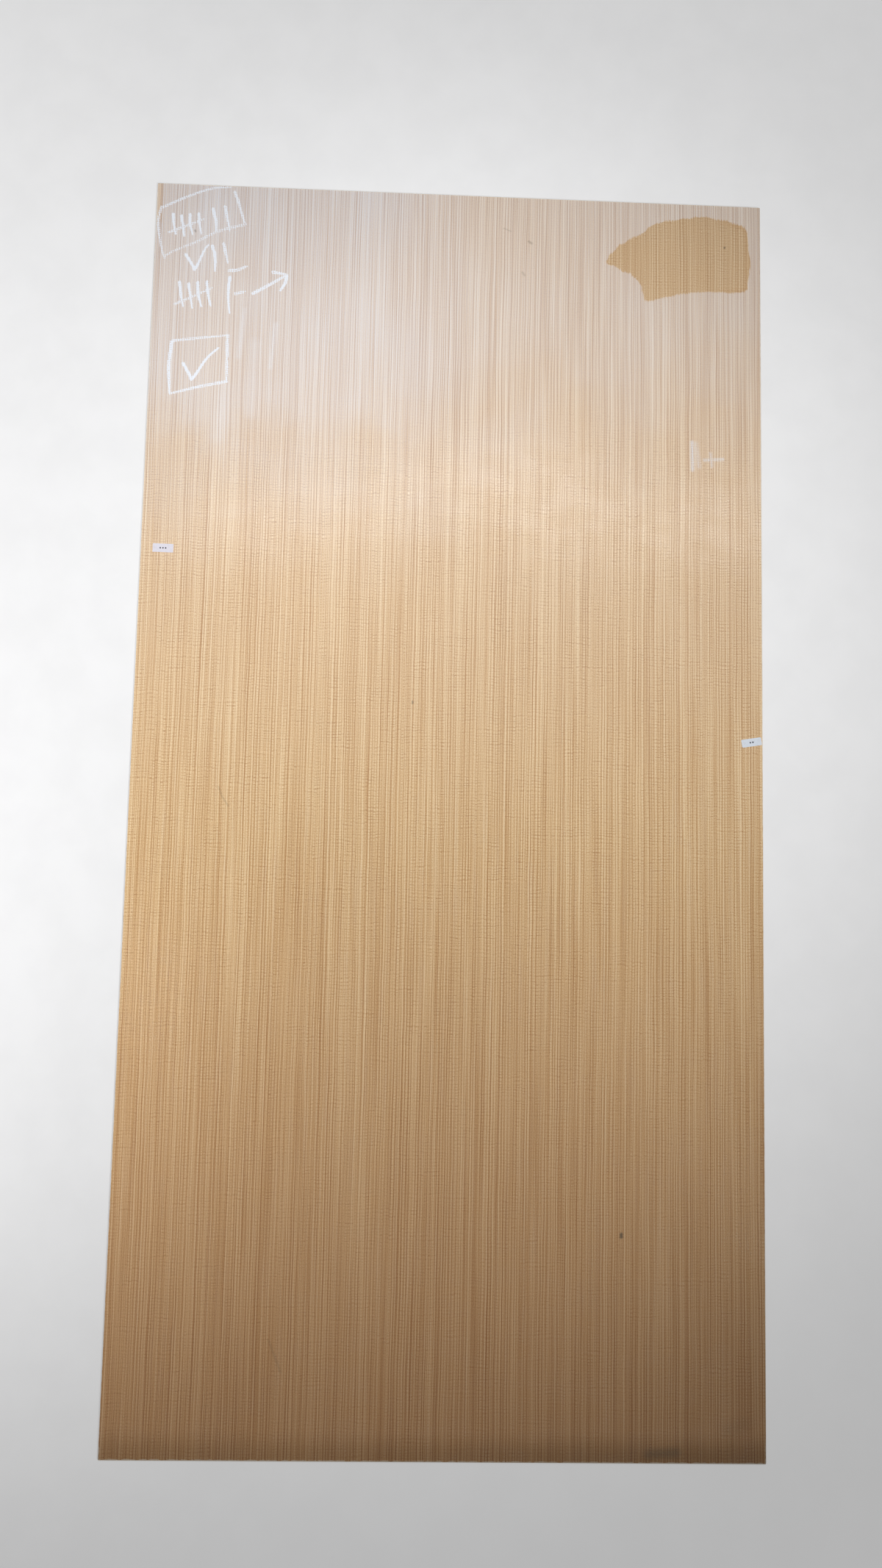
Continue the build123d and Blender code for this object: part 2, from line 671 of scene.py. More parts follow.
# %% A short word for each kind of node
class Drawing:
    """Draws nodes in one tree."""

    def __init__(self, tree):
        self.tree = tree
        tree.nodes.clear()

    def feed(self, socket, value):
        """Join a value to a socket, or set a plain number or colour on it."""
        if isinstance(value, Value):
            self.tree.links.new(value.socket, socket)
        else:
            socket.default_value = value

    def give(self, sockets, **values):
        """Feed several sockets by name, where an underscore is a space."""
        for name, value in values.items():
            self.feed(sockets[name.replace("_", " ")], value)

    def node(self, kind, *values, **settings):
        """A new node with its settings, and its inputs fed in order."""
        made = self.tree.nodes.new("ShaderNode" + kind)
        count = len(self.tree.nodes)
        made.location = (180 * (count // 8), -170 * (count % 8))
        for name, value in settings.items():
            setattr(made, name, value)
        for socket, value in zip(made.inputs, values):
            self.feed(socket, value)
        return made

    def get(self, kind, *values, output=0, **settings):
        """A new node too, but what comes back is its output with that number or name."""
        return Value(self, self.node(kind, *values, **settings).outputs[output])

    def named(self, sockets):
        """Several outputs by name."""
        return {socket.name: Value(self, socket) for socket in sockets}

    def group(self, tree, **values):
        """The outputs by name of a node group whose inputs are fed by name."""
        node = self.node("Group", node_tree=tree)
        self.give(node.inputs, **values)
        return self.named(node.outputs)

    def mix(self, values, inputs, output, **settings):
        """A Mix node. Each kind of value that it mixes has sockets of its own."""
        node = self.node("Mix", **settings)
        for number, value in zip(inputs, values):
            self.feed(node.inputs[number], value)
        return Value(self, node.outputs[output])

    def blend(self, share, first, second):
        """A number between two others."""
        return self.mix((share, first, second), (0, 2, 3), 0, data_type="FLOAT")

    def paint(self, share, first, second, how="MIX"):
        """A colour between two others, or with MULTIPLY the one tinted by the other."""
        kind = {"data_type": "RGBA", "blend_type": how}
        return self.mix((share, first, second), (0, 6, 7), 2, **kind)

    def coats(self, painted, *coats):
        """A colour with coats of others over it, each given as paint takes it."""
        for share, *coat in coats:
            painted = self.paint(share, painted, *coat)
        return painted

    def apart(self, place):
        """The X, Y and Z of a place."""
        return self.named(self.node("SeparateXYZ", place).outputs).values()

    def place(self, x, y, z=0.0):
        """A place from its X, Y and Z."""
        return self.get("CombineXYZ", x, y, z)

    def grey(self, shade):
        """A shade as a colour."""
        return self.place(shade, shade, shade)

    def scaled(self, place, factor):
        """A place multiplied by a number."""
        node = self.node("VectorMath", place, operation="SCALE")
        self.give(node.inputs, Scale=factor)
        return Value(self, node.outputs[0])

    def noise(self, place, across, along, seed, detail=1.0):
        """Soft noise from 0 to 1 whose spots are about across by along mm."""
        spots, aside = (1 / across, 1 / along, 0), (seed * 17.3, seed * 9.1, 0)
        place = self.get("VectorMath", place, spots, aside, operation="MULTIPLY_ADD")
        node = self.node("TexNoise", noise_dimensions="2D")
        self.give(node.inputs, Vector=place, Scale=1.0, Detail=detail)
        return Value(self, node.outputs[0])

    def wobble(self, place, across, along, seed, size, detail=1.0):
        """The same from -size to size."""
        return self.noise(place, across, along, seed, detail).swing(size)

    def attribute(self, name):
        """A number stored in the mesh."""
        return self.get("Attribute", output="Fac", attribute_name=name)


print("the words:", [word for word in vars(Drawing) if not word.startswith("_")])


# %% An empty node group
def new_group(name, takes, gives):
    """An empty node group that takes a place and some numbers, and gives numbers.

    Returns the group, its drawing, its inputs by name, and the sockets for its results."""
    tree = bpy.data.node_groups.new(name, "ShaderNodeTree")
    tree.interface.new_socket("Place", in_out="INPUT", socket_type="NodeSocketVector")
    for label, value in takes.items():
        socket = tree.interface.new_socket(label, in_out="INPUT", socket_type="NodeSocketFloat")
        socket.default_value = value
    for label in gives:
        tree.interface.new_socket(label, in_out="OUTPUT", socket_type="NodeSocketFloat")
    draw = Drawing(tree)
    entry = tree.nodes.new("NodeGroupInput")
    leave = tree.nodes.new("NodeGroupOutput")
    leave.location = (1600, 0)
    return tree, draw, draw.named(entry.outputs), leave.inputs


# %% [markdown]
# ## The grain
#
# This veneer is straight-grained and looks nearly woven. Pale ribs run the whole length,
# about 5.5 mm apart but never quite evenly. In the furrows between them sit short dark
# flecks, about 6 mm apart, and those of neighbouring furrows often stand in level rows.
# Many ribs are broken up at the same heights, like strings of beads. Over that lie very
# fine, long threads and faint broad bands.
#
# Noise alone can't do this, because it has no rhythm. So the group counts ribs: a place
# divided by the rib spacing gives a number whose whole part names the rib and whose
# remainder says how far across it the place is. White noise gives every rib a brightness
# and width of its own. The rows of flecks are counted in the same way, from a height that
# drifts a little.
#
# Noise is weakest along the lines of its lattice. Stretched over metres, that would leave
# calm belts across the sheet. So long noise is slanted, and each fibre meets the lattice at
# a height of its own. Only the longest threads stay near one such line, because noise has
# no broad streaks there. They swing to and fro across it, which fades them in and out.
#
# Face, edge and back all need grain, so it is a node group with its measures as inputs.

# %% The grain as a node group
SLANT = 80.0  # mm of height for each mm across
RIB_APART = (31.7, 170.0)  # how far apart in the noise two neighbouring ribs are
HALF_RIB = (0.065, 0.13)  # half of the narrowest rib and of the widest, in spacings
RIB_RIM = 0.14
RIB_LIGHT = (0.6, 0.96)  # the darkest and the palest rib
FADE_TURN = (1 / 260, 0.27)  # how fast a long thread fades, along it and from one to the next
FADE_REACH = 430  # mm to either side of the lattice line
RIB_MEAN, FLECK_MEAN = 0.22, 0.155  # taken away, so that the tone stays about a half
RIB_TONE, FLECK_TONE, BEAD_TONE = 0.40, 0.40, 0.26  # how strongly each of them shows


def make_grain():
    takes = {"Rib spacing": 5.53, "Fleck spacing": 5.8}
    takes |= dict.fromkeys(["Ribs", "Threads", "Flecks", "Bands"], 1.0)
    gives = ["Tone", "Rib", "Bead", "Thread", "Height"]
    tree, draw, given, result = new_group("Straight grain", takes, gives)
    place = given["Place"]
    x, y, _ = draw.apart(place)

    def counted(value):
        """The number of a rib or row, and how far a place is from its middle, up to 0.5."""
        off = abs(value.math("FRACT") - 0.5)
        return value.math("FLOOR"), off

    across = x + (draw.wobble(place, 260, 800, 1, 3.0) + draw.wobble(place, 50, 120, 12, 1.1))
    uneven = draw.wobble(draw.place(across, 0.0), 18, 100, 2, 0.42)
    rib_number, off_rib = counted(across / given["Rib spacing"] + uneven)
    chance = draw.node("TexWhiteNoise", noise_dimensions="1D")
    draw.give(chance.inputs, W=rib_number)
    rib_light, rib_width, _ = draw.apart(draw.named(chance.outputs)["Color"])
    half_rib = draw.blend(rib_width, *HALF_RIB)
    rib = 1.0 - off_rib.rise(half_rib, half_rib + RIB_RIM)
    own_place = draw.place(rib_number * RIB_APART[0], y + rib_number * RIB_APART[1])
    run = draw.wobble(own_place, 1, 700, 5, 0.28)
    rib_now = (draw.blend(rib_light, *RIB_LIGHT) + run) * rib

    level = y + draw.wobble(place, 80, 24, 3, 4.4)
    rows_up = level / given["Fleck spacing"] + rib_width.swing(0.16)
    row_number, off_row = counted(rows_up)
    cell = draw.place(rib_number, row_number)
    luck = draw.get("TexWhiteNoise", cell, noise_dimensions="2D")
    clear = draw.noise(place, 40, 90, 4, 2.0).rise(0.34, 0.62, 0.35, 1.0)
    row_clear = draw.noise(draw.place(x, level), 150, 5, 13)
    clear = clear * row_clear.rise(0.3, 0.7, 0.6, 1.2)
    dash = off_row.rise(0.10, 0.26, 1.0, 0.0)
    fleck = dash * clear * draw.blend(luck, 0.15, 1.0)
    beaded = rib_width.rise(0.1, 0.5, 0.3, 0.9)
    furrow_fleck = fleck * draw.blend(rib, 0.8, beaded)
    bead = rib * beaded * off_row.rise(0.16, 0.34) * luck.rise(0.1, 1.0, 0.1, 1.2)

    fibre_place = draw.place(across, y + across * SLANT)
    short_thread = draw.wobble(fibre_place, 1.3, 260, 9, 0.40, 0.5)
    fading = (y * FADE_TURN[0] + across * FADE_TURN[1]).math("SINE") * FADE_REACH
    long_thread = draw.wobble(draw.place(across, fading), 2.1, 1600, 10, 0.56, 0.5)
    threads = short_thread + long_thread
    crumb = draw.wobble(place, 1.3, 2.0, 11, 1.0) * draw.blend(given["Flecks"], 0.12, 0.42)
    bands = draw.wobble(place, 32, 1400, 7, 0.012) + draw.wobble(place, 120, 2400, 8, 0.018)

    marks = (furrow_fleck - clear * FLECK_MEAN) * FLECK_TONE - bead * BEAD_TONE
    tone = (rib_now - RIB_MEAN) * (given["Ribs"] * RIB_TONE) - marks * given["Flecks"]
    tone = tone + threads * given["Threads"] + crumb + bands * given["Bands"] + 0.5
    dents = (bead * 0.5 - fleck * 0.6) * given["Flecks"]
    height = rib * 0.5 + dents + threads * 0.3
    draw.give(result, Tone=tone, Rib=rib, Bead=bead, Thread=threads, Height=height)
    return tree


GRAIN = make_grain()
print(GRAIN.name, "has", len(GRAIN.nodes), "nodes")

# %% [markdown]
# ## Dust
#
# A sheet that stands in a yard gathers a pale film. It is never even: it is cloudy, it is
# streaked along the grain where hands brushed it, and it has fine grit in it. The group
# turns an amount into such a mask, and is used on the face, the back, the edge and the
# paper. On the face, the amount it is given also carries a painted sheen over the upper
# part.

# %% Dust as a node group
def make_dust():
    takes = {"Amount": 0.3, "Cloud size": 1.0}
    tree, draw, given, result = new_group("Dust film", takes, ["Mask"])
    place = given["Place"]
    sized = draw.scaled(place, 1.0 / given["Cloud size"])
    clouds = draw.wobble(sized, 180, 260, 21, 0.16, 2.0)
    streaks = draw.wobble(sized, 12, 300, 22, 0.05, 2.0)
    grit = draw.wobble(place, 1.6, 2.2, 23, 0.3)
    mask = given["Amount"] * (1.0 + (clouds + (streaks + grit)))
    draw.give(result, Mask=mask.at_least(0.0).at_most(1.0))
    return tree


DUST = make_dust()
print(DUST.name, "has", len(DUST.nodes), "nodes")

# %% [markdown]
# ## Wear along the rim
#
# Along its rim a board is rubbed down to bare, pale fibres, in a thin broken line. At the
# bottom end the line is wider; that wider part is also a painted highlight, where the cut
# end catches the light. The group measures how far a place lies from the outline of the
# sheet, and noise makes the line wider and narrower.

# %% Wear as a node group
def make_wear():
    takes = {"Half width": SHEET_WIDTH / 2, "Half length": SHEET_LENGTH / 2, "Reach": 2.0}
    tree, draw, given, result = new_group("Rim wear", takes, ["Mask"])
    x, y, _ = draw.apart(given["Place"])
    from_side = given["Half width"] - abs(x)
    from_end = given["Half length"] - abs(y)
    chewed = draw.noise(given["Place"], 16, 16, 31, 3.0)
    reach = given["Reach"] * chewed.rise(0.3, 0.62, 0.4, 1.15)
    mask = from_side.at_most(from_end).rise(reach * 0.5, reach, 1.0, 0.0)
    draw.give(result, Mask=mask)
    return tree


WEAR = make_wear()
print(WEAR.name, "has", len(WEAR.nodes), "nodes")

# %% [markdown]
# ## The show face
#
# The colour is laid on in the order in which the real face got it: the wood, darker or
# paler by the tone of the grain, then the wiped patch, the dust film, the damp end, dirt,
# worn rim and chalk. Painted light lies among these layers: the dust film is also a painted
# sheen over the upper part, with a faint painted sheen veil below it; from 1300 mm down the
# face is painted darker and warmer as shade, and the damp end as well towards the right; and
# the pale rim is wider at the bottom end as a painted highlight of the lit cut end. Under the
# film the flecks are filled and show only weakly, so their strength depends on where the
# film lies.
#
# Gloss follows the same order: sanded wood has a slight sheen, dust and chalk have little
# or none. The sheen is a thin coat that is uneven and strongest on the beads, so a lamp's
# mirror image falls apart into many small glints.
#
# The relief is a bump of a fifth of a millimetre. Ribs that low would cost millions of
# faces as geometry and cast no visible shadow of their own.

# %% Helpers for materials
def new_material(name):
    """A material, its drawing, its shader's inputs, and the place on the surface in mm."""
    material = bpy.data.materials.new(name)
    material.use_nodes = True
    draw = Drawing(material.node_tree)
    shader = draw.node("BsdfPrincipled")
    draw.node("OutputMaterial", Value(draw, shader.outputs[0]))
    place = draw.scaled(draw.get("TexCoord", output="Object"), 1 / MM)
    return material, draw, shader.inputs, place


def relief(draw, height, strength, depth):
    """A normal from a height. Depth is in mm."""
    bump = draw.node("Bump")
    draw.give(bump.inputs, Strength=strength, Distance=depth * MM, Height=height)
    return Value(draw, bump.outputs[0])


def colour(red, green, blue):
    """A colour in the linear numbers that nodes use."""
    return (red, green, blue, 1.0)


def wood_colour(draw, tone):
    """Dark, mid and pale wood by tone."""
    low = draw.paint(tone.part(0.0, 0.5), DARK_WOOD, MID_WOOD)
    return draw.paint(tone.part(0.5, 1.0), low, PALE_WOOD)


DARK_WOOD = colour(0.470, 0.250, 0.100)
MID_WOOD = colour(0.699, 0.456, 0.227)
PALE_WOOD = colour(0.915, 0.690, 0.412)


# %% Where the patch was wiped
PATCH_EDGE = 1.6  # mm, half of the patch's soft edge
DRIED_RIM = (14.0, 2.0)  # mm in, from no dried rim to all of it


def wiped(draw, place, from_left):
    """Inside the patch, and the darker rim that dried on its right, from 0 to 1."""
    ragged = draw.wobble(place, 2.4, 26, 41, 4.0) + draw.wobble(place, 22, 22, 42, 4.0)
    depth = draw.attribute("patch_in") + ragged
    rim = depth.rise(*DRIED_RIM) * from_left.rise(1100, 1190)
    return depth.rise(-PATCH_EDGE, PATCH_EDGE), rim


# %% How thick the dust and the painted sheen lie
FILM_FADE = (870, 330)  # mm from the top end: none of the film, and all of it
THICK_FADE = (570, 400)  # the same for the thick film at the top left
# painted sheen: the faint veil whitens the wood as a sheen would
PAINTED_SHEEN_FADE = (1500, 600)  # and for the faint veil


def dust_and_sheen_amount(draw, place, from_left, from_top):
    """The dust film over the upper third, which is also a painted sheen, a faint painted sheen
    veil below it, and dust left in some lines.
    """
    drift = draw.wobble(place, 130, 120, 43, 85, 2.0)
    lower_end = from_top + (drift + from_left.rise(350, 900, 0.0, 170))
    upper = lower_end.rise(*FILM_FADE, 0.0, 0.29)
    thick = from_left.rise(700, 380, 0.0, 0.14) * lower_end.rise(*THICK_FADE)
    # painted sheen: a faint pale veil over the upper part of the face
    painted_sheen_veil = from_top.rise(*PAINTED_SHEEN_FADE, 0.0, 0.13)
    handled = from_left.rise(6, 16, 0.55, 1.0).at_least(from_top.rise(50, 90))
    left_over = draw.noise(place, 9, 170, 46).rise(0.46, 0.84, 0.02, 0.085)
    left_over = left_over * from_top.rise(1500, 800, 0.4, 1.0)
    return ((upper + thick + painted_sheen_veil) * handled).at_least(left_over)


# %% [markdown]
# ## Chalk that follows the grain
#
# The mesh says how deep a place lies inside a stroke and how hard the stroke was pressed.
# Chalk comes off on what stands proud, so the material compares the pressure with a bead
# pattern of the grain. A hard stroke covers nearly everything, and a light one leaves only
# short dashes on the proud spots. Rubbed chalk is the same thing much weaker.

# %% How much of the chalk takes
CHALK_DASH = 4.4  # mm from one dash to the next
CHALK_TURN = 2 * math.pi / CHALK_DASH


def chalk_cover(draw, place, grain):
    """From 0 to 1, how well a place is covered with chalk."""
    x, y, _ = draw.apart(place)
    sway = draw.wobble(place, 30, 30, 51, 2.2)
    down = ((x + (sway + y * 0.12)) * CHALK_TURN).math("SINE")
    level = ((y + sway) * CHALK_TURN).math("SINE")
    crumbs = down * 0.30 + level * 0.17 + draw.wobble(place, 1.3, 3.0, 52, 0.9, 2.0)

    soft_rim = (draw.attribute("chalk_in") + crumbs * 1.5).rise(-0.5, 1.1)
    press = draw.attribute("chalk_press")
    takes = (press + crumbs * 0.66).rise(0.36, 0.70)
    line = soft_rim * takes * draw.blend(press, 0.8, 1.0)

    on_ribs = crumbs + grain["Rib"].swing(0.2)
    smear = draw.attribute("rubbed") * on_ribs.rise(-0.5, 0.7, 0.45, 1.3)
    return line.at_least(smear).at_most(0.96)


# %% The material of the show face
PATCH_TINT = colour(0.90, 0.90, 0.915)
PATCH_RIM = colour(0.93, 0.86, 0.76)
# dust film colours; on the face they also stand for a painted sheen over the upper part
DUST_AND_SHEEN_FILM = colour(0.780, 0.798, 0.870)
THICK_DUST_AND_SHEEN_FILM = colour(0.715, 0.765, 0.875)
RAW_FIBRE = colour(0.880, 0.790, 0.640)
# painted shade: the lower part of the face is made darker and warmer, as shade would
LOWER_PAINTED_SHADE = colour(0.935, 0.765, 0.655)
# a damp band at the bottom end, which also carries painted shade towards the right
DAMP_AND_SHADE = colour(0.50, 0.46, 0.36)
GRIME = colour(0.16, 0.12, 0.075)
CHALK_WHITE = colour(0.880, 0.925, 1.000)
HAZE_END = (400, 640)  # mm from the top end, where the film gives way to open grain
DAMP_START, DAMP_FULL = SHEET_LENGTH - 60, SHEET_LENGTH - 8
RUBBED_START, RUBBED_FULL = SHEET_LENGTH - 40, SHEET_LENGTH - 10
# the wider pale line at the bottom end is wear and also a painted highlight of the lit cut end
RIM_REACH, END_WEAR_AND_HIGHLIGHT = 1.3, 3.0  # mm of wear along the rim, and at the bottom end
RELIEF_DEPTH = 0.2  # mm


def face_material():
    material, draw, shader, place = new_material("veneer_face")
    x, y, _ = draw.apart(place)
    from_left, from_top = x + SHEET_WIDTH / 2, SHEET_LENGTH / 2 - y
    patch, patch_rim = wiped(draw, place, from_left)

    open_grain = from_top.rise(*HAZE_END, draw.blend(patch, 0.3, 0.7), 1.05)
    open_grain = open_grain * from_top.rise(1200, 2100, 1.0, 0.6)
    lines = from_top.rise(*HAZE_END, draw.blend(patch, 1.25, 0.7), 1.0)
    banded = draw.blend(patch, 1.0, 0.5)
    grain = draw.group(GRAIN, Place=place, Flecks=open_grain, Threads=lines, Bands=banded)

    dust_and_sheen_share = dust_and_sheen_amount(draw, place, from_left, from_top)
    film = draw.group(DUST, Place=place, Amount=dust_and_sheen_share)["Mask"]
    film = film * draw.blend(patch, 1.0, 0.12) * (1.0 + grain["Thread"] * 0.8)
    thickest = from_top.rise(260, 0) * from_left.rise(800, 400)
    end_damp = from_top + draw.wobble(place, 30, 60, 44, 5.0, 2.0)
    damp = end_damp.rise(DAMP_START, DAMP_FULL)
    dirt = draw.attribute("dirt")
    stain = (dirt + dirt * draw.wobble(place, 1.6, 4, 45, 0.35, 2.0)).rise(0.02, 1.0)
    # painted highlight: the pale rim line is wider at the bottom end, where the cut end catches
    # the light
    end_wear_and_highlight = from_top.rise(RUBBED_START, RUBBED_FULL)
    reach = draw.blend(end_wear_and_highlight, RIM_REACH, END_WEAR_AND_HIGHLIGHT)
    wear = draw.group(WEAR, Place=place, Reach=reach)["Mask"]
    chalk = chalk_cover(draw, place, grain)
    painted = draw.coats(
        wood_colour(draw, grain["Tone"]),
        (patch, PATCH_TINT, "MULTIPLY"),
        (patch * (patch_rim * 0.8), PATCH_RIM, "MULTIPLY"),
        # the film is real dust and also a painted sheen over the upper part of the face
        (film, draw.paint(thickest, DUST_AND_SHEEN_FILM, THICK_DUST_AND_SHEEN_FILM)),
        # painted shade: from 1300 mm down, the face grows darker and warmer towards the bottom
        # end
        (from_top.part(1300, SHEET_LENGTH), LOWER_PAINTED_SHADE, "MULTIPLY"),
        # the damp band at the bottom end is real; its strength growing to the right is painted
        # shade
        (damp * from_left.rise(300, 1200, 0.45, 0.70), DAMP_AND_SHADE, "MULTIPLY"),
        (stain * 0.9, GRIME),
        (wear * 0.62, RAW_FIBRE),
        (chalk, CHALK_WHITE),
    )

    gloss = draw.blend(film, draw.blend(grain["Rib"], 0.32, 0.20), 0.48)
    polish = draw.noise(place, 70, 40, 47, 2.0).rise(0.3, 0.7, 0.6, 1.3)
    polish = polish * (0.30 + grain["Bead"] * 0.7) * draw.blend(film, 1.0, 0.4)
    draw.give(
        shader,
        Base_Color=painted,
        Roughness=draw.blend(chalk, gloss, 0.9),
        Normal=relief(draw, grain["Height"] + chalk * 0.25, 1.0, RELIEF_DEPTH),
        Coat_Weight=polish,
        Coat_Roughness=0.15,
        Coat_IOR=1.66,
    )
    return material


FACE = face_material()
print(FACE.name, "has", len(FACE.node_tree.nodes), "nodes")

# %% [markdown]
# ## The sawn edge
#
# A board like this is built up of thin layers, and its edge was cut by a panel saw. The
# edge is paler than the face, shows faint stripes along its length, and has fine upright
# marks where the teeth passed. Dust sits in them.

# %% The material of the edge
EDGE_PALE = colour(0.740, 0.575, 0.385)
EDGE_CORE = colour(0.560, 0.370, 0.215)
GLUE_LINE = SHEET_THICKNESS - 0.6  # mm up, where the show veneer starts
GLUE_RIM = 0.1  # mm, how softly it starts
CORE_MIDDLE = 1.9  # mm up
CORE_HALF = (0.62, 0.78)  # mm from there, where the dark core begins to end, and ends
SAW_MARKS = 1.4  # mm from one tooth mark to the next


def edge_material():
    material, draw, shader, place = new_material("sawn_edge")
    x, y, z = draw.apart(place)
    along = x + y
    grain = draw.group(GRAIN, Place=draw.place(z, along), Rib_spacing=1.3, Flecks=0.3, Ribs=0.5)

    core = abs(z - CORE_MIDDLE).rise(*CORE_HALF, 1.0, 0.0)
    veneer = z.rise(GLUE_LINE - GLUE_RIM, GLUE_LINE + GLUE_RIM)
    shade = grain["Tone"].rise(0.1, 0.9, 0.72, 1.1)
    on_edge = draw.place(along, z)
    fuzz = draw.noise(on_edge, 7, 1.5, 61, 3.0).rise(0.5, 0.72)
    soil = draw.noise(on_edge, 90, 8, 62, 3.0).rise(0.5, 0.75)
    painted = draw.coats(
        EDGE_PALE,
        (core * 0.75, EDGE_CORE),
        (veneer, wood_colour(draw, grain["Tone"])),
        (1.0, draw.grey(shade), "MULTIPLY"),
        (fuzz * 0.5, RAW_FIBRE),
        (soil * 0.35, GRIME),
        (draw.group(DUST, Place=place, Amount=0.12)["Mask"], DUST_AND_SHEEN_FILM),
    )

    sawn = ((along + z * 0.2) * (2 * math.pi / SAW_MARKS)).math("SINE")
    height = sawn * 0.25 + fuzz * 0.5 + grain["Height"]
    draw.give(
        shader,
        Base_Color=painted,
        Roughness=draw.blend(fuzz, 0.68, 0.86),
        Normal=relief(draw, height, 0.8, 0.08),
    )
    return material


EDGE = edge_material()
print(EDGE.name, "has", len(EDGE.node_tree.nodes), "nodes")

# %% [markdown]
# ## The back
#
# The back is a plain veneer that was peeled off the log like paper off a roll. Such
# veneer shows long flames instead of straight lines. Flames are what growth rings look like
# when a knife cuts them at a shallow angle, so the material makes a hill of noise, long in
# the direction of the grain, and draws its contour lines.

# %% The material of the back
BACK_DARK = colour(0.300, 0.150, 0.080)
BACK_PALE = colour(0.500, 0.300, 0.180)
HILL = (330, 1500)  # mm, about how wide and how long a hill of noise is
FLAMES = 17.0  # contour lines up one hill


def back_material():
    material, draw, shader, place = new_material("plain_back")
    grain = draw.group(GRAIN, Place=place, Rib_spacing=7.0, Ribs=0.1, Flecks=0.1)
    ring = (draw.noise(place, *HILL, 71, 2.0) * FLAMES).math("FRACT")
    flame = ring.rise(0.0, 0.75) - ring.rise(0.86, 0.99)
    pores = draw.noise(place, 0.8, 9, 72).rise(0.60, 0.74)
    tone = flame * 0.45 + grain["Tone"] * 0.55
    painted = draw.coats(
        BACK_DARK,
        (tone.rise(0.1, 0.9), BACK_PALE),
        (pores * 0.5, BACK_DARK),
        (draw.group(DUST, Place=place, Amount=0.13)["Mask"], DUST_AND_SHEEN_FILM),
        (draw.group(WEAR, Place=place, Reach=2.4)["Mask"] * 0.6, EDGE_PALE),
    )
    draw.give(
        shader,
        Base_Color=painted,
        Roughness=draw.blend(flame, 0.66, 0.55),
        Normal=relief(draw, grain["Height"] + flame * 0.4 - pores, 0.7, 0.12),
    )
    return material


BACK = back_material()
print(BACK.name, "has", len(BACK.node_tree.nodes), "nodes")
for material in (FACE, EDGE, BACK):
    sheet_mesh.materials.append(material)

# %% [markdown]
# ## The two paper labels
#
# The labels are slips of office paper, fixed with glue. Paper is white but not even: it
# has fibres and grey blotches, and wood dust sticks to it. They carry nothing but a few
# plain dots of ink, and they aren't from one batch: the left one is a warm white, and the
# right one is bluish.
#
# The solids of the packed model have the right shape, so they stay and only get a
# material. Each lies at its own angle, so the dots are placed from its box and its turn.

# %% The material of a paper label
PAPER_SHADE = colour(0.520, 0.510, 0.540)
INK = colour(0.030, 0.030, 0.042)
DOT_RADIUS = 1.5  # mm
DOT_SPACING = 5.2  # mm
INK_RIM = 0.2  # mm, how softly a dot ends


def label_material(name, node, turn, dots, paper):
    """Paper with a short row of ink dots in the middle of a label."""
    material, draw, shader, place = new_material(name)
    low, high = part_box(node)
    centre = tuple((low + high) / 2 / MM)
    moved = draw.get("VectorMath", place, centre, operation="SUBTRACT")
    turned = draw.node("VectorRotate", moved, rotation_type="Z_AXIS")
    draw.give(turned.inputs, Angle=-math.radians(turn))
    u, v, _ = draw.apart(Value(draw, turned.outputs[0]))

    fibres = draw.noise(place, 0.9, 0.9, 81, 4.0)
    blotches = draw.noise(place, 9, 9, 82, 3.0)
    half_row = DOT_SPACING * dots / 2
    off_dot = (((u + half_row) / DOT_SPACING).math("FRACT") - 0.5) * DOT_SPACING
    away = (off_dot * off_dot + v * v).math("SQRT") + draw.wobble(place, 0.7, 0.7, 83, 0.5)
    ink = away.rise(DOT_RADIUS - INK_RIM, DOT_RADIUS + INK_RIM, 1.0, 0.0)
    in_row = abs(u).rise(half_row - 0.1, half_row, 1.0, 0.0)
    painted = draw.coats(
        paper,
        (fibres.rise(0.40, 0.72, 0.0, 0.35), PAPER_SHADE),
        (blotches.rise(0.5, 0.8, 0.0, 0.3), PAPER_SHADE),
        (draw.group(DUST, Place=place, Amount=0.10, Cloud_size=0.1)["Mask"], MID_WOOD),
        (ink * in_row, INK),
    )
    draw.give(
        shader,
        Base_Color=painted,
        Roughness=fibres.rise(0.3, 0.7, 0.62, 0.8),
        Normal=relief(draw, fibres, 0.6, 0.05),
    )
    return material


# %% Give each label its paper: its turn in degrees, its dots and its colour
LABELS = {
    "left_label": (-0.8, 3, colour(0.750, 0.755, 0.870)),
    "right_label": (9.5, 2, colour(0.770, 0.870, 0.990)),
}
for node, (turn, dots, paper) in LABELS.items():
    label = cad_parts[node]
    label.data.materials.clear()
    label.data.materials.append(label_material(node + "_paper", node, turn, dots, paper))
    print(node, "has", dots, "dots")

# %% [markdown]
# ## The floor
#
# The floor is a plain pale sweep. It takes the sheet's thin shadow, and far away it fades
# into the white of the background, so that a low view shows no horizon. Two tricks keep it
# from getting in the way: it can't be seen from below, so a view from there shows the
# sheet's back, and it lets the light from below through to that back.

# %% Make the floor
FLOOR_SIZE = 60.0
FLOOR_DROP = 0.0005  # the floor lies just under the sheet
FLOOR_COLOUR = colour(0.52, 0.52, 0.525)
FLOOR_GLOW = 0.36
FADE_START, FADE_END = 2200, 9000  # mm from the middle


